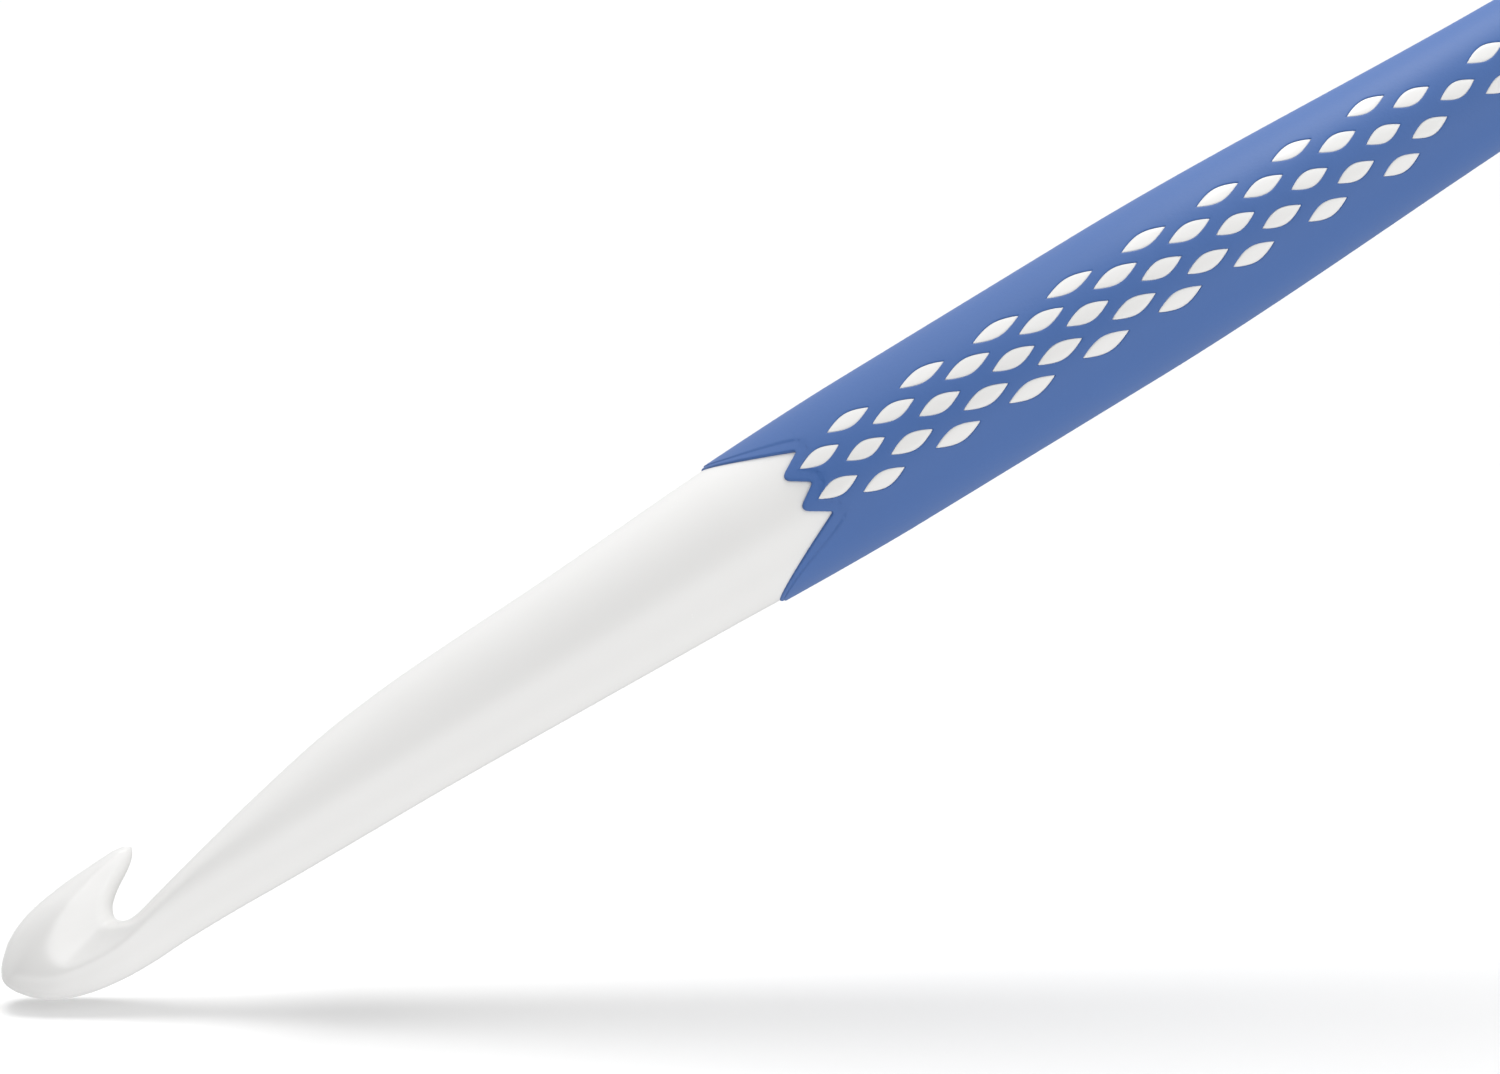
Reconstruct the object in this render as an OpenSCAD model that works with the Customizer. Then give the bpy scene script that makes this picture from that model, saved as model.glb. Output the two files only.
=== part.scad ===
// Large moulded crochet hook: a hard white core with a soft jacket moulded over its handle.
// The hook lies along X with its nose at -X and its mouth open to +Z, and it stands on its barrel at Z = 0.
// Lengths below are counted from the nose, heights from the handle's own centre line.

/* [Sizes] */
// Whole length from the nose to the rear end
total_len = 180; // [176:1:190]
// Radius of the straight barrel, where the hand holds the hook
barrel_r = 6.7; // [6.5:0.1:7.2]
// Where the straight barrel starts
barrel_from = 82; // [80:0.5:84]
// Where the straight barrel ends
barrel_to = 105; // [100:1:110]
// Radius of the slim waist behind the barrel
waist_r = 5.2; // [4.9:0.1:5.6]
// Where the waist is slimmest
waist_at = 150; // [146:1:152]
// Radius of the jacket at its rear edge
rear_r = 6.2; // [5.8:0.1:6.4]

/* [Jacket] */
// Tips of the two tongues, above and below
tongue_from = 69.5; // [69:0.1:70.5]
// Radius of the jacket at the tongue tips
tongue_r = 6.35; // [6.25:0.05:6.45]
// Bottoms of the notches in the front edge
notch_at = 76.9; // [76.4:0.1:77.2]
// Rounded ends of the teeth in the front edge
tooth_at = 74.6; // [74:0.1:75]
// Thickness of the soft jacket
jacket_t = 1.2; // [0.8:0.1:1.6]
// Rear edge of the jacket
jacket_to = 172; // [168:1:173]

/* [Windows] */
// First column of windows
window_from = 78.2; // [78:0.1:79]
// Distance from one column to the next
column_step = 3.472; // [3.3:0.01:3.6]
// Distance between neighbours in a column, round the handle
row_step = 2.94; // [2.8:0.02:3]
// Number of columns
columns = 24; // [20:1:25]
// Last column of the wide part of the strip
wide_columns = 17; // [15:1:18]
// Length of the longest window
window_len = 4.15; // [3.6:0.05:4.3]
// Width of a window
window_w = 1.36; // [1.1:0.02:1.5]

/* [Hidden] */

bond_gap = 0.01;        // the two mouldings meet along this hairline
land_sink = 0.06;       // how far the white lands lie below the jacket
shaft_end = 66;         // the free-form hook and the turned core meet here
shaft_end_r = 5.93;     // radius of the hook where it meets the core
collar_r = 6.25;        // white surface in the notches of the jacket
tongue_root_r = 6.13;   // white surface under the tongue tips
notch_turn = 28;        // outer notches lie this many degrees round from the middle of the flank
tooth_turn = 13.7;      // ends of the teeth, likewise
tooth_r = 0.5;          // rounding of the teeth
middle_notch = 0.2;     // how far the middle notch falls short of the outer ones
overlap = 2;            // the turned parts of the core start this far inside the hook
shoulder_r = 5.4;       // radius of the shoulder's own start there
stub_r = 4.6;           // and of the core's
cut_width = 18;         // side views are carried across this width
front_x = 60;           // the side view of the front zone starts here, in the free-form hook
brow = 5;               // this far behind their tips the tongues have reached
brow_share = 9 / 14;    // this share of the swell up to the barrel
dome_stub = 1;          // the dome starts this far inside the jacket
dome_seat = 0.4;        // straight step between the jacket and the rear dome
dome_inset = 0.15;      // the dome is this much slimmer than the jacket
lip_inset = 0.25;       // and the white lip in front of it this much
seat_inset = 0.3;       // the dome's stub is this much slimmer than the bore of the jacket
turned_steps = 9;       // straight bands in each curved stretch of a turned outline
ring_pts = 36;          // points round one section of the hook
sub_rings = 3;          // rings from one section of the hook to the next

// The hook's shape is a row of upright sections that fan out round the mouth.
// Each section runs from a point on the inner line (throat and mouth) to one on the outer line.
inner_line = [
    [shaft_end, shaft_end_r], [54, 5.25], [44, 4.87], [38, 4.5], [32, 3.8], [25, 2.4], [19, 0.98], [14.6, -0.12],
    [12.3, -0.7], [11.2, -0.74], [10.6, -0.38], [10.4, -0.02], [10.42, 0.4], [10.7, 0.98], [11.3, 1.58],
    [12.15, 2.18], [13.1, 2.74], [13.85, 3.3], [14.28, 3.8]];
outer_line = [
    [shaft_end, -shaft_end_r], [54, -5.5], [44, -5.14], [38, -4.96], [32, -4.86], [25, -4.74], [19, -4.57],
    [14.4, -4.56], [11.2, -4.68], [8.2, -4.56], [5, -3.98], [2, -2.6], [0.02, 0.1], [1.5, 2.5], [4.2, 3.85],
    [7.6, 4.44], [10.6, 4.62], [12.9, 4.7], [13.98, 4.56]];
// For each section: half width at its ridge, place of the ridge from inner (0) to outer (1) point,
// how far down its round side the outer part starts, half width kept at the inner edge, and share rounded there.
section = [
    [5.93, 0.50, 0.00, 1, 1], [5.38, 0.50, 0, 1, 1], [5.02, 0.50, 0, 1, 1], [4.9, 0.50, 0, 1, 1],
    [4.8, 0.46, 0.00, 1, 1], [4.68, 0.39, 0.00, 1, 1], [4.5, 0.32, 0.1, 1, 1], [4.25, 0.32, 0.25, 1, 1],
    [4.1, 0.36, 0.35, 0.95, 0.9], [4.0, 0.44, 0.42, 0.8, 0.6], [3.95, 0.55, 0.5, 0.62, 0.35],
    [3.9, 0.64, 0.55, 0.56, 0.22], [3.95, 0.59, 0.5, 0.56, 0.18], [3.98, 0.6, 0.53, 0.58, 0.2],
    [3.75, 0.62, 0.56, 0.62, 0.25], [3.1, 0.66, 0.6, 0.68, 0.32], [2.45, 0.66, 0.55, 0.74, 0.45],
    [1.75, 0.6, 0.4, 0.85, 0.7], [1.05, 0.5, 0.1, 1, 1]];
beak_tip = [14.45, 4.2];

// Puts the middle of the length at X = 0 and stands the hook on its barrel at Z = 0
module place() translate([-total_len / 2, 0, barrel_r]) children();

// Catmull-Rom curve through four neighbouring values, from b to c
function through(a, b, c, d, t) =
    0.5 * (2 * b + (c - a) * t + (2 * a - 5 * b + 4 * c - d) * t * t + (3 * b - a - 3 * c + d) * t * t * t);
function keyed(list, i, t) =
    let (last = len(list) - 1)
    through(list[max(i - 1, 0)], list[i], list[min(i + 1, last)], list[min(i + 2, last)], t);

// Half width of a section at share u of the way from its inner to its outer point
function half_width(s, u) =
    u < s[1]
        ? s[0] * (s[3] + (1 - s[3]) * u / s[1]) * sqrt(1 - pow(1 - min(u / s[1] / s[4], 1), 2))
        : let (down = s[2] + (1 - s[2]) * (u - s[1]) / (1 - s[1]))
          s[0] * sqrt(max(0, 1 - down * down) / (1 - s[2] * s[2]));

// One ring of the hook, in XYZ, from its inner point round to its outer point and back
function ring(p, q, s) = [
    for (k = [0:ring_pts - 1])
        let (turn = 360 * k / ring_pts, u = (1 - cos(turn)) / 2, side = turn < 180 ? -1 : 1)
        [p.x + (q.x - p.x) * u, side * half_width(s, u), p.y + (q.y - p.y) * u]];

// Closed skin over rings that all have ring_pts points, with a tip point after the last one
module skin(rings, tip) {
    n = len(rings);
    points = [for (r = rings) each r, tip];
    polyhedron(points, concat(
        [[for (k = [0:ring_pts - 1]) ring_pts - 1 - k]],
        [for (i = [0:n - 2], k = [0:ring_pts - 1])
            let (a = i * ring_pts + k, b = i * ring_pts + (k + 1) % ring_pts)
            each [[a, b, a + ring_pts], [b, b + ring_pts, a + ring_pts]]],
        [for (k = [0:ring_pts - 1])
            [(n - 1) * ring_pts + k, (n - 1) * ring_pts + (k + 1) % ring_pts, n * ring_pts]]));
}

module free_form_hook() {
    spans = len(inner_line) - 1;
    steps = [for (i = [0:spans - 1], j = [0:sub_rings - 1]) [i, j / sub_rings], [spans - 1, 1]];
    rings = [for (s = steps) ring(
        keyed(inner_line, s[0], s[1]), keyed(outer_line, s[0], s[1]), keyed(section, s[0], s[1]))];
    skin(rings, [beak_tip.x, 0, beak_tip.y]);
}

// Points of a smooth step from [x0, r0] to [x1, r1], level at both ends
function swell(x0, r0, x1, r1) = [
    for (i = [0:turned_steps]) let (t = i / turned_steps) [x0 + (x1 - x0) * t, r0 + (r1 - r0) * (3 - 2 * t) * t * t]];

// Outer outline of the jacket, set in by a distance
function jacket_outline(inset) = [
    [tongue_from, tongue_r - inset],
    [tongue_from + brow, tongue_r + (barrel_r - tongue_r) * brow_share - inset],
    for (p = [[barrel_from, barrel_r], each swell(barrel_to, barrel_r, waist_at, waist_r),
              each swell(waist_at, waist_r, jacket_to, rear_r)]) [p.x, p.y - inset]];

// Turns an outline of [x, radius] points about X
module turned(outline) {
    rotate([0, 90, 0])
        rotate_extrude($fn = 96)
            polygon(concat(
                [[0, outline[0].x]],
                [for (p = outline) [p.y, p.x]],
                [[0, outline[len(outline) - 1].x]]));
}

// Carries a side view outline across the whole width
module across() {
    rotate([90, 0, 0]) linear_extrude(height = cut_width, center = true) children();
}

// One rounded tooth end at height h, from below to above
function tooth(h) = [
    for (a = [-50:25:50]) [tooth_at + tooth_r * (1 - cos(a)), h + tooth_r * sin(a)]];

// Side view of all that lies in front of the jacket's front edge
module front_zone() {
    notch_h = collar_r * sin(notch_turn);
    tooth_h = collar_r * sin(tooth_turn);
    half = concat(
        [[front_x, 0], [notch_at - middle_notch, 0]],
        tooth(tooth_h),
        [[notch_at, notch_h], [tongue_from, tongue_r + 2 * bond_gap], [front_x, tongue_r + 2 * bond_gap]]);
    polygon(half);
    mirror([0, 1]) polygon(half);
}

// Length of the windows in a column: they grow over the first columns and shrink towards the rear
function column_len(k) = window_len * (k < 4 ? 0.87 + 0.13 * k / 4 : k < 8 ? 1 : max(0.8, 1 - 0.025 * (k - 7)));
// Radius of the jacket at a place along the hook, read off its outline
function jacket_r(x) = lookup(x, jacket_outline(0));
// Rows of a column, counted in row steps from the middle of the strip
function rows(k) = k % 2 == 0 ? [-0.5, 0.5] : k < wide_columns ? [-1, 0, 1] : [0];

// Side view of one leaf-shaped window: two arcs that meet in a point at each end
module leaf(length, width) {
    arc_r = (length * length + width * width) / (4 * width);
    intersection() {
        translate([0, arc_r - width / 2]) circle(r = arc_r, $fn = 96);
        translate([0, width / 2 - arc_r]) circle(r = arc_r, $fn = 96);
    }
}

// All windows, seen from the side; less makes each one smaller all round
module windows(less = 0) {
    for (k = [0:columns - 1], row = rows(k)) {
        x = window_from + k * column_step;
        turn = row * row_step / jacket_r(x) * 180 / PI;
        translate([x, jacket_r(x) * sin(turn)])
            leaf(column_len(k) - less, (window_w - less) * cos(turn));
    }
}

module hook_core() {
    seat_r = rear_r - jacket_t - seat_inset;
    lip_x = jacket_to + bond_gap;
    dome_x = jacket_to + dome_seat;
    color("whitesmoke") place() {
        free_form_hook();
        // white shoulder that fills the notches of the jacket
        intersection() {
            turned([[shaft_end - overlap, shoulder_r], [shaft_end, shoulder_r], [shaft_end, shaft_end_r + bond_gap],
                    [tongue_from, tongue_root_r], [notch_at + 1, collar_r]]);
            across() front_zone();
        }
        // core under the jacket
        turned(concat([[shaft_end - overlap, stub_r]], jacket_outline(jacket_t + bond_gap)));
        // leaf-shaped lands
        intersection() {
            turned(jacket_outline(land_sink));
            across() windows(2 * bond_gap);
        }
        // rounded rear end
        turned([
            [jacket_to - dome_stub, seat_r], [lip_x, seat_r], [lip_x, rear_r - lip_inset],
            for (a = [0:10:90]) [dome_x + (total_len - dome_x) * sin(a), (rear_r - dome_inset) * cos(a)]]);
    }
}

module grip_sleeve() {
    color("royalblue") place()
        difference() {
            turned(jacket_outline(0));
            turned([for (p = jacket_outline(jacket_t)) each
                p.x == tongue_from ? [[p.x - 1, p.y], p] : p.x == jacket_to ? [p, [p.x + 1, p.y]] : [p]]);
            across() front_zone();
            across() windows();
        }
}

hook_core();
grip_sleeve();
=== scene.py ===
"""Looks of a large crochet hook: a satin white moulding in a soft blue jacket with leaf-shaped windows.

Lengths in the shape lists are millimetres from the nose, and heights are from the handle's centre line.
Angles round the handle are degrees from the front flank (-Y): +90 is the top, -90 the underside.
"""
import math

import bpy
import numpy as np
from mathutils import Matrix, Vector
from mathutils.geometry import delaunay_2d_cdt


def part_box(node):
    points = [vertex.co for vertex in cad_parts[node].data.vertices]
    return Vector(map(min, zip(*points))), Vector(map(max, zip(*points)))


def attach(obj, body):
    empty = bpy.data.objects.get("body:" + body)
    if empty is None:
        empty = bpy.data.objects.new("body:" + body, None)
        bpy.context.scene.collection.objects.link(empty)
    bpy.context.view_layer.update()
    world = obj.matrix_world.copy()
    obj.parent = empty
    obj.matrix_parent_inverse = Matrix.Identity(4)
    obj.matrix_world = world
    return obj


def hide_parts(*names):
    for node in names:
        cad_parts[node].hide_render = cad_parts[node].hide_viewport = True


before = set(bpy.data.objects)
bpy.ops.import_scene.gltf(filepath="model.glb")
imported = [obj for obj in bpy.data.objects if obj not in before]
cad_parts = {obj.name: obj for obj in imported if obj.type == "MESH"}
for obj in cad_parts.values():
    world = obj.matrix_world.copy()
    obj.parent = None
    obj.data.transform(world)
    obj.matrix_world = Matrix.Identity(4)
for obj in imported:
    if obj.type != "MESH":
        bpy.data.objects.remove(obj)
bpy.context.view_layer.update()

MM = 0.001
core_lo, core_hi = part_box("hook_core")
jacket_lo, jacket_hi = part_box("grip_sleeve")
NOSE = core_lo[0]
AXIS_Z = (jacket_lo[2] + jacket_hi[2]) / 2

# Places along the hook
SHAFT_END = 66.0
TONGUE_AT = (jacket_lo[0] - NOSE) / MM
JACKET_TO = (jacket_hi[0] - NOSE) / MM
REAR_END = (core_hi[0] - NOSE) / MM
BARREL_FROM, BARREL_TO, WAIST_AT = 82.0, 105.0, 150.0

# Radii
BARREL_R = (jacket_hi[2] - jacket_lo[2]) / 2 / MM
SHAFT_R, TONGUE_ROOT_R, SHOULDER_R = 5.93, 6.1, 6.24
TONGUE_R, WAIST_R, REAR_R = 6.35, 5.2, 6.2
JACKET_T = 1.2
HAIRLINE = 0.01

# Front edge of the jacket, on one flank
NOTCH_AT, NOTCH_Z = 76.9, 2.96
TOOTH_AT, TOOTH_Z = 74.55, 1.5
MIDDLE_AT = 76.7
BORDER_W, BORDER_SINK, EDGE_ROUND = 1.0, 0.1, 0.14
# Rows of points beside the edge, as shares of the border's width
BORDER_ROWS = (0.07, 0.14, 0.3, 0.5, 0.68, 0.8, 0.88, 0.94, 1, 1.06, 1.14, 1.24, 1.4)

# Windows
WINDOW_FROM, COLUMN_STEP, ROW_STEP = 78.2, 3.472, 2.94
COLUMNS, WIDE_COLUMNS = 24, 17
WINDOW_LEN, WINDOW_W = 4.2, 1.42
ROW_SIZE = {0: 0.95, 0.5: 1, 1: 1.03}  # a window's length by the distance of its row from the middle
FIRST_SIZE, GROWN_AT = 0.87, 4  # share of the full size at the first column, and the column where it is full
SHRINK_FROM, SHRINK_BY, LEAST_SIZE = 7, 0.025, 0.8  # windows shrink by this share a column behind this one
LEAF_POINT = 1.15          # above 1 the ends of a leaf draw out into a point
LEAF_SPAN = 0.93           # share of the quarter cosine that a leaf uses
LEAF_BLUNT = 16            # the higher, the smaller the round tip of a leaf
LEAF_POINTS = 48           # points round one window
LEAF_ALONG = 1.25          # a leaf that grows outwards grows this much faster at its ends
# Rings round a window as (distance outwards, drop): the jacket's rounded lip, and the crown of the white land
LIP = [(0.0, 0.05), (0.04, 0.02), (0.09, 0.006), (0.17, 0.0)]
LAND_CROWN = [(-0.005, 0.0), (-0.06, -0.045), (-0.13, -0.06)]
LAND_TOP = -0.08           # drop of the middle of a land: it stands over its edge
LAND_SINK = 0.09           # a land's edge lies this far below the jacket

UNROLL_R = 6.5             # radius used to lay the surface out flat
SEAM = math.pi / 2 * UNROLL_R  # where the laid-out flank ends, at the top and at the underside
RING = 96                  # points round the hook
FLAT_STEP, CORE_STEP = 0.5, 0.55  # size of a facet on the smooth parts of the jacket and of the core

# Rear end of the core: lip behind the jacket, then the dome
LIP_R, LIP_EDGE = REAR_R - 0.3, REAR_R - 0.2
DOME_R, DOME_SEAT = REAR_R - 0.15, 0.4
REAR_ROUND_W, REAR_ROUND_DROP = 0.5, 0.12  # rounding of the jacket's rear edge


# ---------------------------------------------------------------- small mesh tools

def to_world(points):
    """Shape points (x from the nose, y, height over the centre line) in mm to metres in the frame."""
    return np.asarray(points, float) * MM + np.array([NOSE, 0.0, AXIS_Z])


def round_axis(x, degrees, r):
    """Points at radius r round the X axis: (x, -r cos a, r sin a)."""
    a = np.radians(degrees)
    return np.stack([x, -r * np.cos(a), r * np.sin(a)], axis=-1)


def make_piece(name, points, faces, material, sharp=40.0):
    """Mesh object from whole arrays of points and faces, smooth but for edges over the sharp angle."""
    points, index, inverse = weld(points)
    faces = [drop_flat(inverse[np.asarray(f)]) for f in faces]
    loops = np.concatenate([f.ravel() for f in faces])
    totals = np.concatenate([np.full(len(f), f.shape[1]) for f in faces])
    starts = np.concatenate([[0], np.cumsum(totals)[:-1]])
    mesh = bpy.data.meshes.new(name)
    mesh.vertices.add(len(points))
    mesh.vertices.foreach_set("co", to_world(points).ravel())
    mesh.loops.add(len(loops))
    mesh.loops.foreach_set("vertex_index", loops)
    mesh.polygons.add(len(totals))
    mesh.polygons.foreach_set("loop_start", starts)
    mesh.polygons.foreach_set("use_smooth", np.ones(len(totals), bool))
    mesh.update(calc_edges=True)
    mesh.validate()
    mesh.set_sharp_from_angle(angle=math.radians(sharp))
    mesh.materials.append(material)
    piece = bpy.data.objects.new(name, mesh)
    bpy.context.collection.objects.link(piece)
    return piece


def weld(points):
    """Joins points that fall within a tenth of a micron of each other."""
    keys = np.round(np.asarray(points) * 1e4).astype(np.int64)
    _, index, inverse = np.unique(keys, axis=0, return_index=True, return_inverse=True)
    return np.asarray(points)[index], index, inverse.ravel()


def drop_flat(faces):
    """Triangles without those that lost an edge when points were joined; quads are split in two first."""
    if faces.shape[1] == 4:
        faces = np.concatenate([faces[:, [0, 1, 2]], faces[:, [0, 2, 3]]])
    a, b, c = faces.T
    return faces[(a != b) & (b != c) & (c != a)]


def grid_faces(rows, columns, closed=True):
    """Quads between neighbouring rows of points; a closed grid joins its last column to the first."""
    i = np.arange(rows - 1)[:, None]
    j = np.arange(columns if closed else columns - 1)[None, :]
    k = (j + 1) % columns
    return np.stack([i * columns + j, (i + 1) * columns + j, (i + 1) * columns + k, i * columns + k],
                    axis=-1).reshape(-1, 4)


def through(keys, t):
    """Catmull-Rom curve through the keys, read at t = 0 at the first key, 1 at the second, and so on."""
    keys = np.asarray(keys, float)
    last = len(keys) - 1
    i = np.clip(np.floor(t).astype(int), 0, last - 1)
    f = (t - i)[:, None]
    a, b, c, d = (keys[np.clip(i + n, 0, last)] for n in (-1, 0, 1, 2))
    square, cube = 2 * a - 5 * b + 4 * c - d, 3 * b - a - 3 * c + d
    return 0.5 * (2 * b + (c - a) * f + square * f ** 2 + cube * f ** 3)


def ease(t):
    """Smooth step, level at 0 and 1."""
    t = np.clip(t, 0, 1)
    return t * t * (3 - 2 * t)


# ---------------------------------------------------------------- the free-form hook

# Sections fan out round the mouth. Each runs from a point on the inner line to one on the outer line.
# It has: half width at its ridge, place of the ridge (0 inner, 1 outer), how far down its round side the
# outer part starts, half width kept at the inner edge, share of the inner part that is rounded off, and
# fullness of the round side.
INNER_LINE = [
    (66, 5.93), (54, 5.25), (44, 4.87), (38, 4.5), (32, 3.8), (25, 2.4), (19, 0.98), (14.6, -0.12),
    (12.3, -0.7), (11.2, -0.74), (10.6, -0.38), (10.4, -0.02), (10.42, 0.4), (10.7, 0.98), (11.3, 1.58),
    (12.15, 2.18), (13.1, 2.74), (13.85, 3.3), (14.28, 3.8)]
OUTER_LINE = [
    (66, -5.93), (54, -5.5), (44, -5.14), (38, -4.96), (32, -4.86), (25, -4.74), (19, -4.57), (14.4, -4.56),
    (11.2, -4.68), (8.2, -4.56), (5, -3.98), (2, -2.6), (0.02, 0.1), (1.6, 2.42), (4.2, 3.78),
    (7.6, 4.42), (10.6, 4.62), (12.9, 4.7), (13.98, 4.56)]
SECTIONS = [
    (5.93, 0.50, 0, 1, 1, 2), (5.38, 0.50, 0, 1, 1, 2), (5.02, 0.50, 0, 1, 1, 2), (4.9, 0.50, 0, 1, 1, 2),
    (4.8, 0.46, 0, 1, 1, 2), (4.68, 0.39, 0, 1, 1, 2), (4.5, 0.32, 0.08, 1, 1, 2), (4.25, 0.32, 0.2, 1, 1, 2),
    (4.1, 0.36, 0.28, 0.93, 0.75, 2), (4.0, 0.45, 0.3, 0.85, 0.4, 2.1), (3.95, 0.56, 0.28, 0.68, 0.3, 2.2),
    (3.9, 0.65, 0.2, 0.56, 0.22, 2.4), (3.95, 0.55, 0.12, 0.56, 0.18, 2.6),
    (3.98, 0.49, 0.14, 0.58, 0.2, 2.5), (3.75, 0.47, 0.2, 0.62, 0.25, 2.3), (3.1, 0.5, 0.25, 0.68, 0.32, 2.1),
    (2.45, 0.57, 0.3, 0.74, 0.45, 2), (1.75, 0.6, 0.3, 0.85, 0.7, 2), (1.05, 0.5, 0.1, 1, 1, 2)]
BEAK_TIP = (14.45, 4.2)
RINGS_PER_SPAN = 12
EDGE_BLUR = (0.1, 0.2, 0.4, 0.2, 0.1)  # softens the edges of the head across neighbouring points
BLUR_FROM, BLUR_OVER = 5, 3            # the softening sets in at this section, over this many


def half_width(section, u):
    """Half width at share u of the way from the inner to the outer point of each section.

    Inside the ridge a straight flank runs from the width kept at the inner edge to the ridge, with its inner
    share rounded off as a quarter ellipse. Outside the ridge it is the rest of a superellipse.
    """
    wide, ridge, start, kept, rounded, full = (section[:, i:i + 1] for i in range(6))
    inside = np.clip(u / ridge, 0, 1)
    flank = (kept + (1 - kept) * inside) * np.sqrt(1 - (1 - np.clip(inside / rounded, 0, 1)) ** 2)
    down = start + (1 - start) * np.clip((u - ridge) / (1 - ridge), 0, 1)
    side = (np.clip(1 - down ** full, 0, 1) / (1 - start ** full)) ** (1 / full)
    return wide * np.where(u < ridge, flank, side)


def hook_rings():
    """All rings of the hook: (rings, RING, 3), from the shaft to just before the tip of the beak.

    A point at share u = (1 - cos turn) / 2 between the two lines stands out by the section's half width
    there, to one side for the first half turn and to the other for the second.
    """
    last = len(INNER_LINE) - 1
    t = np.linspace(0, last, last * RINGS_PER_SPAN + 1)
    inner, outer, section = through(INNER_LINE, t), through(OUTER_LINE, t), through(SECTIONS, t)
    turn = 2 * np.pi * np.arange(RING) / RING
    u = (1 - np.cos(turn))[None, :] / 2
    width = half_width(section, u) * np.sign(np.sin(turn) + 1e-12)
    in_head = ease((t - BLUR_FROM) / BLUR_OVER)[:, None]
    blurred = sum(share * np.roll(width, k - 2, axis=1) for k, share in enumerate(EDGE_BLUR))
    width = width * (1 - in_head) + blurred * in_head
    line = inner[:, None, :] + (outer - inner)[:, None, :] * u[..., None]
    return np.stack([line[..., 0], -width, line[..., 1]], axis=-1)


# ---------------------------------------------------------------- turned surfaces

def jacket_r(x):
    """Outer radius of the jacket: swells to the barrel, is straight, slims to the waist, swells again."""
    before = np.clip((BARREL_FROM - x) / (BARREL_FROM - TONGUE_AT), 0, 1)
    front = BARREL_R - (BARREL_R - TONGUE_R) * before ** 1.5
    slim = BARREL_R + (WAIST_R - BARREL_R) * ease((x - BARREL_TO) / (WAIST_AT - BARREL_TO))
    rear = WAIST_R + (REAR_R - WAIST_R) * ease((x - WAIST_AT) / (JACKET_TO - WAIST_AT))
    return np.where(x < BARREL_FROM, front, np.where(x < WAIST_AT, slim, rear))


def shoulder_r(x):
    """Radius of the white surface from the end of the free-form hook to the notches of the jacket."""
    return np.interp(x, [SHAFT_END, TONGUE_AT, NOTCH_AT], [SHAFT_R, TONGUE_ROOT_R, SHOULDER_R])


def rounded(corners, cuts, steps=6):
    """Line through the corners, with each inner corner replaced by a parabola that starts a cut before it.

    The parabola is (1 - t)^2 a + 2 t (1 - t) corner + t^2 b, between the cut points a and b.
    """
    corners = np.asarray(corners, float)
    line = [corners[:1]]
    t = np.linspace(0, 1, steps)[:, None]
    for before, at, after, cut in zip(corners[:-2], corners[1:-1], corners[2:], cuts):
        a = at + (before - at) / np.linalg.norm(before - at) * cut
        b = at + (after - at) / np.linalg.norm(after - at) * cut
        line.append((1 - t) ** 2 * a + 2 * t * (1 - t) * at + t ** 2 * b)
    return np.concatenate(line + [corners[-1:]])


def respaced(line, step):
    """The same line with points an even step apart, its ends kept."""
    length = np.concatenate([[0], np.cumsum(np.linalg.norm(np.diff(line, axis=0), axis=1))])
    at = np.linspace(0, length[-1], max(2, int(round(length[-1] / step)) + 1))
    return np.stack([np.interp(at, length, line[:, i]) for i in range(2)], axis=1)


def front_edge(step=0.16):
    """Front edge of the jacket on one flank, laid out flat as (x, arc), from the underside to the top.

    Seen from the side it is straight from the tongue tips to the outer notches, with two blunt teeth between
    three notches. A height z lies at the angle asin(z / r).
    """
    half = [(MIDDLE_AT, 0), (TOOTH_AT, TOOTH_Z), (NOTCH_AT, NOTCH_Z), (TONGUE_AT, TONGUE_R)]
    corners = [(x, -z) for x, z in half[:0:-1]] + half
    side = rounded(corners, [0.25, 0.85, 0.3, 0.85, 0.25])
    fine = respaced(side, 0.02)
    angle = np.degrees(np.arcsin(np.clip(fine[:, 1] / jacket_r(fine[:, 0]), -1, 1)))
    angle[0], angle[-1] = -90, 90
    return respaced(np.stack([fine[:, 0], np.radians(angle) * UNROLL_R], axis=1), step)


def window_table():
    """Every window of one flank: x, arc, length and width, by column and row.

    Columns of two alternate with columns of three, or of one behind the wide part. A window's place round the
    handle is row * ROW_STEP, and windows grow over the first columns and shrink slowly towards the rear.
    """
    rows = []
    for k in range(COLUMNS):
        if k < GROWN_AT:
            grow = FIRST_SIZE + (1 - FIRST_SIZE) * k / GROWN_AT
        else:
            grow = max(LEAST_SIZE, 1 - SHRINK_BY * max(0, k - SHRINK_FROM))
        places = (-0.5, 0.5) if k % 2 == 0 else (-1, 0, 1) if k < WIDE_COLUMNS else (0,)
        for row in places:
            x = WINDOW_FROM + k * COLUMN_STEP
            squeeze = UNROLL_R / float(jacket_r(x))
            width = WINDOW_W * squeeze * (0.9 + 0.1 * grow)
            rows.append((x, row * ROW_STEP * squeeze, WINDOW_LEN * grow * ROW_SIZE[abs(row)], width))
    return np.array(rows)


def leaf_shape(along):
    """Half width of a leaf at share s of its half length, 1 at s = 0: cos(k s) ^ p * sqrt(1 - s ^ n)."""
    return np.cos(LEAF_SPAN * np.pi / 2 * along) ** LEAF_POINT * np.sqrt(1 - along ** LEAF_BLUNT)


def leaf_loop(x, arc, length, width, grow=0.0, count=LEAF_POINTS):
    """Outline of a leaf, grown outwards by a distance."""
    t = 2 * np.pi * np.arange(count) / count
    a, b = length / 2 + LEAF_ALONG * grow, width / 2 + grow
    along = np.cos(t)
    across = np.sign(np.sin(t)) * b * leaf_shape(np.clip(np.abs(along), 0, 1))
    return np.stack([x + a * along, arc + across], axis=1)


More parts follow.
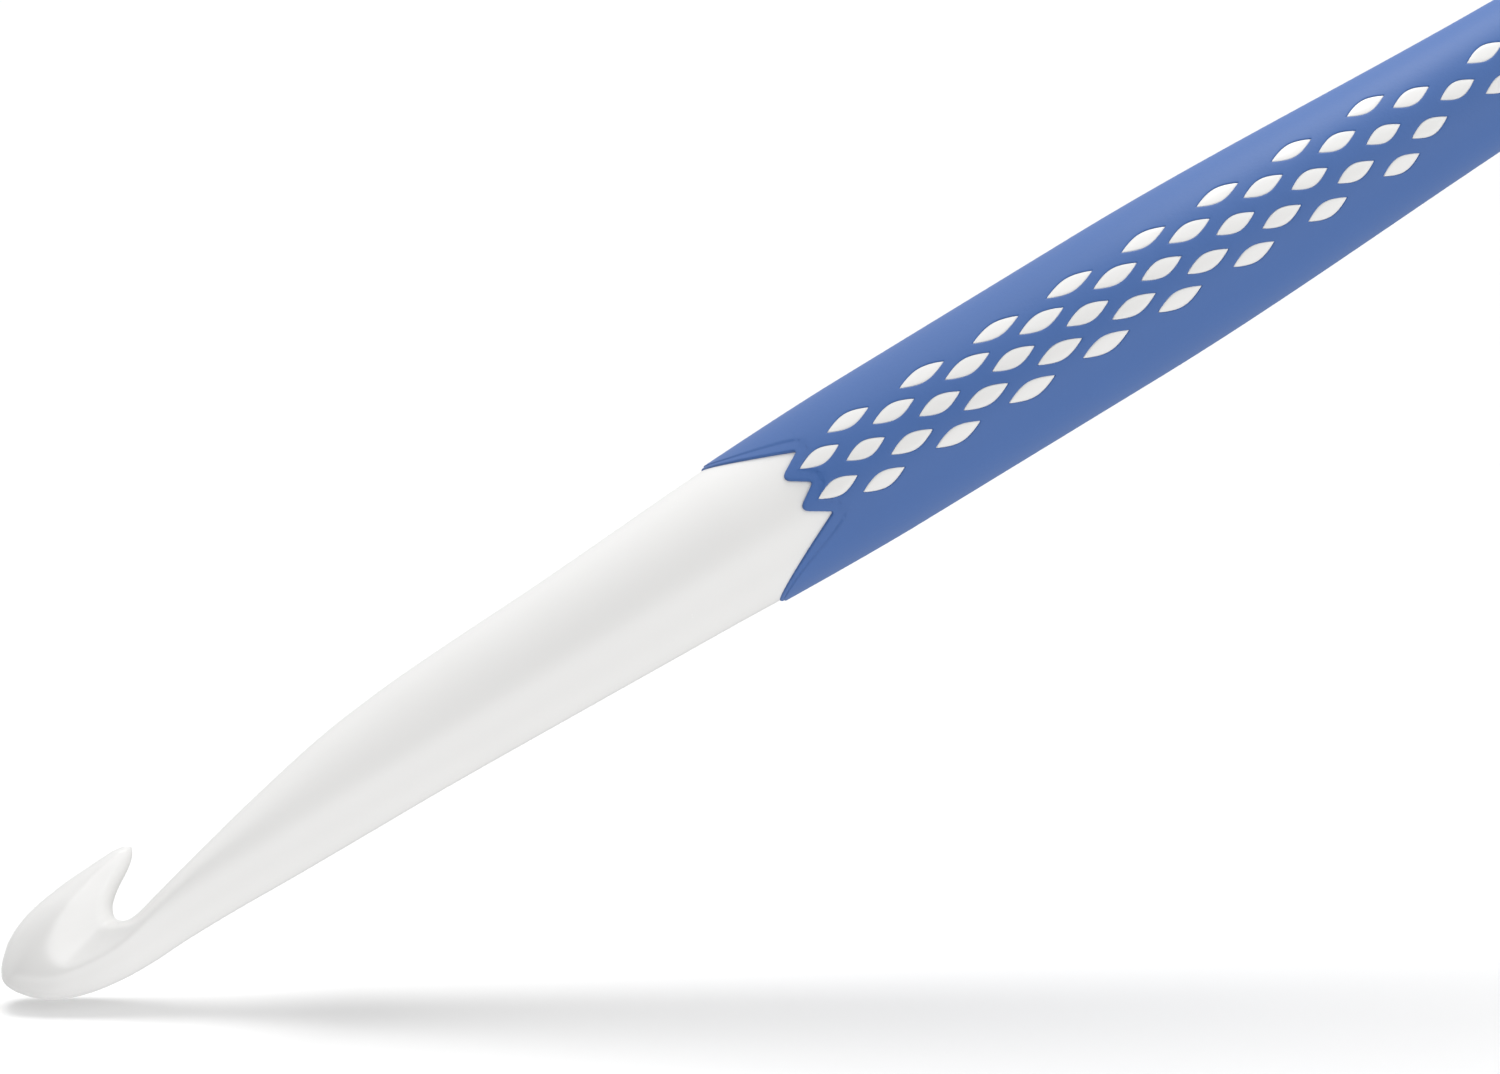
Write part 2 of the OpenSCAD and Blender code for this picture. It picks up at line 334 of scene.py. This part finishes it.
def inside_leaf(points, x, arc, length, width):
    """True for flat points inside a leaf outline."""
    along = np.clip(np.abs(points[:, 0] - x) / (length / 2), 0, 1)
    return (along < 1) & (np.abs(points[:, 1] - arc) < width / 2 * leaf_shape(along))


def nearest(points, targets):
    """Distance from each point to the closest of the targets, in blocks to save memory."""
    squares = [((p[:, None, :] - targets[None]) ** 2).sum(-1).min(1) for p in np.array_split(points, 40)]
    return np.sqrt(np.concatenate(squares))


class FlatSheet:
    """A triangulated half turn of the handle, laid out flat, from one seam (underside) to the other (top).

    Lines go in as kept edges with a drop (how far they lie below the surface); loose points fill the rest.
    """

    def __init__(self):
        self.points, self.drops, self.edges, self.count = [], [], [], 0

    def add(self, line, drop=0.0, closed=False, joined=True):
        """Puts in a line of points; joined keeps its edges, and closed adds the one back to its start."""
        n = len(line)
        self.points.append(line)
        self.drops.append(np.full(n, drop))
        if joined:
            a = np.arange(n if closed else n - 1)
            self.edges.append(np.stack([a, (a + 1) % n], axis=1) + self.count)
        self.count += n

    def triangles(self):
        """Constrained Delaunay triangulation: flat points, their drops and counter-clockwise triangles."""
        points = np.concatenate(self.points)
        edges = np.concatenate(self.edges)
        flat, _, tris, origin, _, _ = delaunay_2d_cdt(
            [Vector(p) for p in points.tolist()], edges.tolist(), [], 0, 1e-5)
        drops = np.concatenate(self.drops)
        first = np.array([o[0] if o else -1 for o in origin])
        drop = np.where(first >= 0, drops[first], 0.0)
        return np.array([tuple(p) for p in flat]), drop, np.array([tuple(t) for t in tris])


def half_turn_sheet(x_from, front, windows, rings, keep_clear, spacing, edge_bands=()):
    """Sheet over one flank from the front line to the jacket's rear edge, with rings round every window.

    Rings are (distance outwards, drop). Loose points lie a spacing apart, and none closer to the front line
    or a window than keep_clear, but for the rows in edge_bands.
    """
    sheet = FlatSheet()
    across = np.linspace(-SEAM, SEAM, RING // 2 + 1)
    seam_x = np.linspace(x_from, JACKET_TO, int((JACKET_TO - x_from) / spacing) + 1)
    sheet.add(front)
    if x_from < TONGUE_AT:
        sheet.add(np.stack([np.full_like(across, x_from), across], axis=1))
    for side in (-SEAM, SEAM):
        line = seam_x[seam_x > x_from] if x_from >= TONGUE_AT else seam_x
        sheet.add(np.stack([line, np.full_like(line, side)], axis=1))
    sheet.add(np.stack([np.full_like(across, JACKET_TO), across], axis=1))
    outlines = [front]
    for window in windows:
        for grow, drop in rings:
            sheet.add(leaf_loop(*window, grow=grow), drop, closed=True)
        outlines.append(leaf_loop(*window, grow=max(g for g, _ in rings)))
    for band in edge_bands:
        sheet.add(band, joined=False)
    columns = np.arange(x_from, JACKET_TO, spacing * 0.87)
    rows = np.arange(-SEAM + spacing * 0.6, SEAM - spacing * 0.5, spacing)
    gx, gy = np.meshgrid(columns[1:-1], rows, indexing="ij")
    gy = gy + (np.arange(len(columns[1:-1])) % 2)[:, None] * spacing / 2
    loose = np.stack([gx.ravel(), gy.ravel()], axis=1)
    loose = loose[np.abs(loose[:, 1]) < SEAM - spacing * 0.4]
    away = nearest(loose, np.concatenate(outlines)) > keep_clear
    for window in windows:
        away &= ~inside_leaf(loose, *window)
    sheet.add(loose[away], joined=False)
    return sheet


def front_of(points, front):
    """True for flat points that lie before the front edge line."""
    return points[:, 0] < np.interp(points[:, 1], front[:, 1], front[:, 0])


def both_flanks(points, faces):
    """The front flank and its mirror image across the XZ plane, with the mirror's faces turned over."""
    mirrored = points * np.array([1, -1, 1])
    return np.concatenate([points, mirrored]), np.concatenate([faces, faces[:, ::-1] + len(points)])


def edges_of(tris):
    """All directed edges of the triangles."""
    return np.concatenate([tris[:, [0, 1]], tris[:, [1, 2]], tris[:, [2, 0]]])


def open_edges(tris):
    """Directed edges that no neighbouring triangle uses the other way."""
    directed = edges_of(tris)
    size = tris.max() + 1
    forward = directed[:, 0] * size + directed[:, 1]
    backward = directed[:, 1] * size + directed[:, 0]
    return directed[~np.isin(forward, backward)]


# ---------------------------------------------------------------- the two mouldings

def border_width(x):
    """Width of the sunk border along the jacket's front edge, opening from the tongue tips to the notches."""
    return BORDER_W * (0.3 + 0.7 * ease((x - TONGUE_AT) / (NOTCH_AT - TONGUE_AT)))


def border_drop(distance, width):
    """Drop of the jacket along its front edge: a quarter round edge, then a sunk border with a soft step."""
    over = 1 - np.clip(distance / EDGE_ROUND, 0, 1)
    step = ease((distance / width - 0.84) / 0.3)
    return EDGE_ROUND * (1 - np.sqrt(1 - over ** 2)) + BORDER_SINK * (1 - step)


def border_bands(front):
    """Rows of points beside the front edge; a point that comes too near another stretch of it is left out."""
    normals = np.gradient(front, axis=0)
    normals = np.stack([normals[:, 1], -normals[:, 0]], axis=1) / np.linalg.norm(normals, axis=1)[:, None]
    bands = []
    for share in BORDER_ROWS:
        out = border_width(front[:, :1]) * share
        band = front + normals * out
        clear = nearest(band, front) > out[:, 0] * 0.97
        bands.append(band[clear & (np.abs(band[:, 1]) < SEAM - 0.1)])
    return bands


def make_jacket(windows, front, material):
    """Soft jacket: outer skin with rounded window lips and a sunk front border, inner skin, and the walls.

    The skins are the laid-out sheet rolled up: a flat point (x, arc) goes to the angle arc / UNROLL_R, at the
    jacket's radius less its drop outside, and less its thickness inside.
    """
    sheet = half_turn_sheet(TONGUE_AT, front, windows, LIP, 0.3, FLAT_STEP, border_bands(front))
    flat, drop, tris = sheet.triangles()
    middle = flat[tris].mean(1)
    keep = ~front_of(middle, front) & (middle[:, 0] < JACKET_TO)
    for window in windows:
        keep &= ~inside_leaf(middle, *window)
    tris = tris[keep]
    drop = drop + border_drop(nearest(flat, respaced(front, 0.03)), border_width(flat[:, 0]))
    over = 1 - np.clip((JACKET_TO - flat[:, 0]) / REAR_ROUND_W, 0, 1)
    drop += REAR_ROUND_DROP * (1 - np.sqrt(np.clip(1 - over ** 2, 0, 1)))
    angle = np.degrees(flat[:, 1] / UNROLL_R)
    outer = round_axis(flat[:, 0], angle, jacket_r(flat[:, 0]) - drop)
    inner = round_axis(flat[:, 0], angle, jacket_r(flat[:, 0]) - JACKET_T)
    tris = facing_out(outer, tris)
    points, outer_faces = both_flanks(outer, tris)
    inner_points, _ = both_flanks(inner, tris)
    joined, index, inverse = weld(points)
    outer_faces, inner_points = inverse[outer_faces], inner_points[index]
    rim = open_edges(outer_faces)
    n = len(joined)
    wall = np.stack([rim[:, 1], rim[:, 0], rim[:, 0] + n, rim[:, 1] + n], axis=1)
    return make_piece("grip_jacket", np.concatenate([joined, inner_points]),
                      [outer_faces, outer_faces[:, ::-1] + n, wall], material, sharp=50)


def facing_out(points, tris):
    """Triangles of a turned surface, wound so that they face away from the axis."""
    a, b, c = (points[tris[:, i]] for i in range(3))
    middle = (a + b + c) / 3
    inward = (np.cross(b - a, c - a)[:, 1:] * middle[:, 1:]).sum(1) < 0
    tris = tris.copy()
    tris[inward] = tris[inward][:, ::-1]
    return tris


def handle_surface(windows, front):
    """Points and triangles of the shoulder up to the jacket's edge, the core under the jacket, and the lands.

    The laid-out sheet is rolled up twice, low (core) and high (shoulder and lands). Each triangle is taken
    from one of the two, and walls join them where they meet.
    """
    edge = front - np.array([HAIRLINE, 0])
    sheet = half_turn_sheet(SHAFT_END, edge, windows, LAND_CROWN, 0.25, CORE_STEP)
    for x, arc, length, width in windows:
        for share in (0.55, 0.25):
            sheet.add(leaf_loop(x, arc, length * share, width * share, count=20), LAND_TOP, joined=False)
    flat, drop, tris = sheet.triangles()
    middle = flat[tris].mean(1)
    raised = front_of(middle, edge)
    gap = LAND_CROWN[0][0]
    for x, arc, length, width in windows:
        raised |= inside_leaf(middle, x, arc, length + 2 * LEAF_ALONG * gap, width + 2 * gap)
    angle = np.degrees(flat[:, 1] / UNROLL_R)
    x = flat[:, 0]
    low = round_axis(x, angle, jacket_r(x) - JACKET_T - HAIRLINE)
    on_shoulder = front_of(flat, edge + np.array([2 * HAIRLINE, 0]))
    high = round_axis(x, angle, np.where(on_shoulder, shoulder_r(x), jacket_r(x) - LAND_SINK - drop))
    tris = facing_out(low, tris)
    n = len(flat)
    faces = np.where(raised[:, None], tris + n, tris)
    lifted = edges_of(tris[raised])
    lowered = edges_of(tris[~raised])
    step = lifted[np.isin(lifted[:, 0] * n + lifted[:, 1], lowered[:, 1] * n + lowered[:, 0])]
    wall = np.stack([step[:, 1] + n, step[:, 0] + n, step[:, 0], step[:, 1]], axis=1)
    wall = np.concatenate([wall[:, [0, 1, 2]], wall[:, [0, 2, 3]]])
    return both_flanks(np.concatenate([low, high]), np.concatenate([faces, wall]))


def hook_surface():
    """Points and triangles of the free-form hook, closed at the tip of the beak."""
    rings = hook_rings()
    k = np.arange(RING)
    last = (len(rings) - 1) * RING
    cap = np.stack([last + k, np.full(RING, last + RING), last + (k + 1) % RING], axis=1)
    points = np.concatenate([rings.reshape(-1, 3), [(BEAK_TIP[0], 0, BEAK_TIP[1])]])
    return points, np.concatenate([drop_flat(grid_faces(len(rings), RING)), cap])


def rear_surface():
    """Points and triangles of the rear end: its outline turned round the axis."""
    outline = rear_profile()
    angles = 90 - 360 * np.arange(RING) / RING
    points = round_axis(outline[:, :1] + 0 * angles, angles[None, :], outline[:, 1:])
    return points.reshape(-1, 3), drop_flat(grid_faces(len(outline), RING)[:, ::-1])


def rear_profile():
    """Outline of the rear end as (x, radius): the jacket's seat, a lip, and a dome (sin a, cos a)."""
    seat = [(JACKET_TO, float(jacket_r(JACKET_TO)) - JACKET_T - HAIRLINE), (JACKET_TO + HAIRLINE, LIP_R)]
    lip = [(JACKET_TO + 0.1, LIP_EDGE)]
    a = np.radians(np.linspace(0, 90, 40))
    start = JACKET_TO + DOME_SEAT
    dome = np.stack([start + (REAR_END - start) * np.sin(a), DOME_R * np.cos(a)], axis=1)
    dome[-1, 1] = 0
    return np.concatenate([seat, lip, dome])


def make_core(windows, front, material):
    """White moulding in one piece: the surface along the handle, the hook before it, and the rear end."""
    points, faces, count = [], [], 0
    for part_points, part_faces in (handle_surface(windows, front), hook_surface(), rear_surface()):
        points.append(part_points)
        faces.append(part_faces + count)
        count += len(part_points)
    return make_piece("white_hook", np.concatenate(points), faces, material, sharp=50)


# ---------------------------------------------------------------- materials

class Value:
    """A shader value. Arithmetic on it adds Math nodes to its tree."""

    def __init__(self, graph, socket):
        self.graph, self.socket = graph, socket

    def _math(self, operation, *values):
        inputs = dict(enumerate(values))
        return self.graph.node("ShaderNodeMath", {"operation": operation}, inputs)

    def __add__(self, other): return self._math("ADD", self, other)
    def __radd__(self, other): return self._math("ADD", other, self)
    def __sub__(self, other): return self._math("SUBTRACT", self, other)
    def __rsub__(self, other): return self._math("SUBTRACT", other, self)
    def __mul__(self, other): return self._math("MULTIPLY", self, other)
    def __rmul__(self, other): return self._math("MULTIPLY", other, self)


class Graph:
    """A node tree under construction."""

    def __init__(self, tree):
        self.tree = tree

    def node(self, kind, settings=(), inputs=(), output=0):
        """Adds a node: its settings first, then values or links for its sockets; returns one output."""
        made = self.tree.nodes.new(kind)
        for key, value in dict(settings).items():
            if key == "stops":
                for stop, (place, colour) in zip(self.stops(made, len(value)), value):
                    stop.position, stop.color = place, colour
            else:
                setattr(made, key, value)
        for key, value in dict(inputs).items():
            self.put(made.inputs[key], value)
        return Value(self, made.outputs[output])

    @staticmethod
    def stops(ramp, count):
        elements = ramp.color_ramp.elements
        while len(elements) < count:
            elements.new(0.5)
        return elements

    def put(self, socket, value):
        if isinstance(value, Value):
            self.tree.links.new(value.socket, socket)
        else:
            socket.default_value = value


class Finish(Graph):
    """A material under construction: one Principled surface and the nodes that feed it."""

    def __init__(self, name, **uniform):
        self.material = bpy.data.materials.new(name)
        self.material.use_nodes = True
        super().__init__(self.material.node_tree)
        self.surface = self.tree.nodes["Principled BSDF"]
        self.feed(**uniform)

    def feed(self, **sockets):
        """Values or links for sockets of the surface, by their names in lower case."""
        for name, value in sockets.items():
            self.put(self.surface.inputs[name.replace("_", " ").title().replace("Ior", "IOR")], value)
        return self.material


def white_moulding():
    """Satin white polymer: faint cloudy flow in its colour, a fine moulded skin in roughness and relief."""
    f = Finish("satin_white_polymer", specular_ior_level=0.69)
    place = f.node("ShaderNodeTexCoord", output="Object")
    cloud = f.node("ShaderNodeTexNoise", {},
                   {"Vector": place, "Scale": 90.0, "Detail": 2.0, "Roughness": 0.5})
    colour = f.node("ShaderNodeMix", {"data_type": "RGBA"},
                    {"Factor": cloud, 6: (0.855, 0.85, 0.84, 1), 7: (0.885, 0.88, 0.87, 1)}, output=2)
    grain = f.node("ShaderNodeTexNoise", {},
                   {"Vector": place, "Scale": 2600.0, "Detail": 3.0, "Roughness": 0.6})
    ripple = f.node("ShaderNodeTexNoise", {}, {"Vector": place, "Scale": 240.0, "Detail": 1.0})
    relief = f.node("ShaderNodeBump", {},
                    {"Strength": 0.12, "Distance": 0.04 * MM, "Height": grain * 0.4 + ripple})
    return f.feed(base_color=colour, roughness=grain * 0.10 + cloud * 0.05 + 0.17, normal=relief)


def soft_jacket():
    """Soft-touch blue: matt, with a fine eroded grain in relief, slightly paler where the grain stands up."""
    f = Finish("soft_touch_blue", specular_ior_level=0.74)
    place = f.node("ShaderNodeTexCoord", output="Object")
    cloud = f.node("ShaderNodeTexNoise", {}, {"Vector": place, "Scale": 120.0, "Detail": 2.0})
    grain = f.node("ShaderNodeTexNoise", {},
                   {"Vector": place, "Scale": 3400.0, "Detail": 4.0, "Roughness": 0.65})
    mottle = cloud * 0.5 + grain * 0.5
    colour = f.node("ShaderNodeMix", {"data_type": "RGBA"},
                    {"Factor": mottle, 6: (0.038, 0.121, 0.37, 1), 7: (0.047, 0.14, 0.412, 1)}, output=2)
    relief = f.node("ShaderNodeBump", {}, {"Strength": 0.35, "Distance": 0.05 * MM, "Height": grain})
    return f.feed(base_color=colour, roughness=grain * 0.12 + cloud * 0.06 + 0.45, normal=relief)


# ---------------------------------------------------------------- camera, floor and light

TILT, ROLL = math.radians(6.4), math.radians(31.4)
AIM_X, AIM_DROP = 70.1, 0.46   # middle of the view: from the nose, and below the handle's centre line
VIEW_WIDTH = 121 * MM
LENS, SENSOR = 300.0, 36.0
FLOOR_SLOPE = math.radians(11)
FLOOR_REACH = 0.9              # radius of the floor, in metres
HEAD_X, FLOOR_BELOW = 5.0, 6.2  # the floor passes this far below this place in the head
PAINTED_NOSE_GLOW = 0.19             # painted light: white glow in the floor's emission close to the nose, lightening the cast shadow there in place of light the nose throws back
PAINTED_GLOW_FROM, PAINTED_GLOW_TO = 6, 22  # the painted glow fades between these distances from where the floor is under the head
SOFTBOX_AT, SOFTBOX_UP, SOFTBOX_SIZE = 170.0, 0.13, 0.08  # mm from the nose; height and size in metres
# Light by direction: angle round the hook (0 the camera, 90 above, -90 below), strength on the nose's side,
# and strength on the rear's side
STUDIO = [(-150, 0.62, 0.65), (-100, 0.95, 0.88), (-75, 0.85, 0.7), (-45, 1.42, 1.4), (-30, 1.37, 1.36),
          (-18, 0.57, 0.57), (-6, 0.08, 0.09), (8, 0.03, 0.06), (25, 0.38, 0.44), (45, 0.6, 0.65),
          (75, 1.1, 1.05), (110, 1.17, 1.12), (150, 0.75, 0.85)]
# Soft spots before the hook: direction along it and up it, outer and inner angle, strength
SPOTS = [(0.0, 0.0, 28, 8, 0.24), (0.6, 0.1, 36, 14, 1.2), (0.5, 0.45, 30, 10, 0.5),
         (-0.6, 0.1, 36, 14, -0.8)]

along = Vector((1, 0, 0))
forward = Vector((0, math.cos(TILT), math.sin(TILT)))
upright = Vector((0, -math.sin(TILT), math.cos(TILT)))
right = along * math.cos(ROLL) - upright * math.sin(ROLL)
up = along * math.sin(ROLL) + upright * math.cos(ROLL)


def make_camera():
    """Long lens on the front flank, rolled so that the hook climbs to the right."""
    aim = Vector((NOSE + AIM_X * MM, 0, AXIS_Z)) - upright * AIM_DROP * MM
    distance = VIEW_WIDTH * LENS / SENSOR
    data = bpy.data.cameras.new("studio_camera")
    data.lens, data.sensor_width, data.sensor_fit = LENS, SENSOR, "HORIZONTAL"
    data.clip_start, data.clip_end = 0.05, 20
    camera = bpy.data.objects.new("studio_camera", data)
    turn = Matrix((right, up, -forward)).transposed().to_4x4()
    camera.matrix_world = Matrix.Translation(aim - forward * distance) @ turn
    bpy.context.collection.objects.link(camera)
    bpy.context.scene.camera = camera


def make_floor():
    """Pale round floor that slopes with the view, just under the head; clear from below."""
    normal = (up * math.cos(FLOOR_SLOPE) - forward * math.sin(FLOOR_SLOPE)).normalized()
    under_head = Vector((0.2, 0, -1)).normalized() * FLOOR_BELOW * MM
    touch = Vector((NOSE + HEAD_X * MM, 0, AXIS_Z)) + under_head
    depth = normal.cross(right)
    turn = 2 * np.pi * np.arange(RING) / RING
    rim = [touch + right * (FLOOR_REACH * math.cos(a)) + depth * (FLOOR_REACH * math.sin(a)) for a in turn]
    mesh = bpy.data.meshes.new("studio_floor")
    mesh.from_pydata([tuple(touch)] + [tuple(p) for p in rim], [],
                     [(0, 1 + i, 1 + (i + 1) % RING) for i in range(RING)])
    mesh.materials.append(pale_floor(touch))
    floor = bpy.data.objects.new("studio_floor", mesh)
    bpy.context.collection.objects.link(floor)
    floor.visible_diffuse = floor.visible_glossy = floor.visible_shadow = False
    return floor


def pale_floor(touch):
    """Matt pale grey that the lamps bring up to white, with a painted glow in its emission round the nose
    that lightens the cast shadow there, clear from behind.
    """
    f = Finish("pale_floor", base_color=(0.6, 0.6, 0.6, 1), roughness=0.9, specular_ior_level=0.1,
               emission_strength=1.0)
    away = f.node("ShaderNodeVectorMath", {"operation": "DISTANCE"},
                  {0: f.node("ShaderNodeTexCoord", output="Object"), 1: tuple(touch)}, output="Value")
    # Painted light: emission glow, strongest round the nose and fading with distance, lightens the floor's
    # cast shadow there
    f.feed(emission_color=f.node("ShaderNodeMapRange", {"interpolation_type": "SMOOTHSTEP"},
                                 {0: away, 1: PAINTED_GLOW_FROM * MM, 2: PAINTED_GLOW_TO * MM, 3: PAINTED_NOSE_GLOW, 4: 0.0}))
    back = f.node("ShaderNodeNewGeometry", output="Backfacing")
    clear = f.node("ShaderNodeBsdfTransparent")
    mixed = f.node("ShaderNodeMixShader", {}, {0: back, 1: Value(f, f.surface.outputs[0]), 2: clear})
    f.tree.links.new(mixed.socket, f.tree.nodes["Material Output"].inputs["Surface"])
    return f.material


def make_softbox(name, kind, direction, aim, distance, **settings):
    """Lamp that shines at a point from a direction and a distance."""
    data = bpy.data.lights.new(name, kind)
    for key, value in settings.items():
        setattr(data, key, value)
    lamp = bpy.data.objects.new(name, data)
    direction = direction.normalized()
    turn = direction.to_track_quat("Z", "Y").to_matrix().to_4x4()
    lamp.matrix_world = Matrix.Translation(aim + direction * distance) @ turn
    lamp.visible_camera = False
    bpy.context.collection.objects.link(lamp)
    return lamp


def make_lamps(floor):
    """A softbox over the rear of the handle, and an overhead one that lights the floor alone."""
    rear = Vector((NOSE + SOFTBOX_AT * MM, 0, AXIS_Z))
    make_softbox("rear_softbox", "AREA", upright - forward * 0.1, rear, SOFTBOX_UP,
                 shape="SQUARE", size=SOFTBOX_SIZE, energy=0.08)
    overhead = make_softbox("overhead_softbox", "SUN", up + forward * 0.18, rear, 0.5,
                            angle=math.radians(44), energy=2.3)
    lit = bpy.data.collections.new("lit_from_overhead")
    lit.objects.link(floor)
    overhead.light_linking.receiver_collection = lit


def make_light():
    """Soft studio all round the hook.

    The world's strength is read off STUDIO at the direction's angle round the hook, atan2(up, to the camera).
    It goes from the nose side's value to the rear side's along the hook. SPOTS are added, and the camera sees
    pure white.
    """
    world = bpy.data.worlds.new("white_studio")
    world.use_nodes = True
    bpy.context.scene.world = world
    g = Graph(world.node_tree)
    direction = g.node("ShaderNodeTexCoord", output="Generated")

    def part(axis):
        return g.node("ShaderNodeVectorMath", {"operation": "DOT_PRODUCT"}, {0: direction, 1: tuple(axis)},
                      output="Value")

    turn = g.node("ShaderNodeMath", {"operation": "ARCTAN2"}, {0: part(upright), 1: part(-forward)})
    place = turn * (0.5 / math.pi) + 0.5
    nose_side, rear_side = (
        g.node("ShaderNodeValToRGB",
               {"stops": [(row[0] / 360 + 0.5, (row[side],) * 3 + (1,)) for row in STUDIO]},
               {"Fac": place}) for side in (1, 2))
    light = g.node("ShaderNodeMix", {"data_type": "FLOAT"},
                   {0: part(along) * 0.5 + 0.5, 2: nose_side, 3: rear_side})
    for a, v, outer, inner, strength in SPOTS:
        centre = along * a + upright * v - forward * math.sqrt(1 - a * a - v * v)
        light += strength * g.node("ShaderNodeMapRange", {"interpolation_type": "SMOOTHSTEP"}, {
            0: part(centre), 1: math.cos(math.radians(outer)), 2: math.cos(math.radians(inner))})
    light = g.node("ShaderNodeMath", {"operation": "MAXIMUM"}, {0: light, 1: 0.0})
    seen = g.node("ShaderNodeLightPath", output="Is Camera Ray")
    background = world.node_tree.nodes["Background"]
    background.inputs["Color"].default_value = (1, 1, 1, 1)
    g.put(background.inputs["Strength"], light * (1 - seen) + seen)


bpy.context.scene.view_settings.view_transform = "Standard"
make_camera()
make_lamps(make_floor())
make_light()

windows = window_table()
front = front_edge()
jacket = make_jacket(windows, front, soft_jacket())
hook = make_core(windows, front, white_moulding())
for piece, node, slot in ((jacket, "grip_sleeve", "blue_jacket"), (hook, "hook_core", "white_core")):
    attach(piece, "root")
    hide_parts(node)
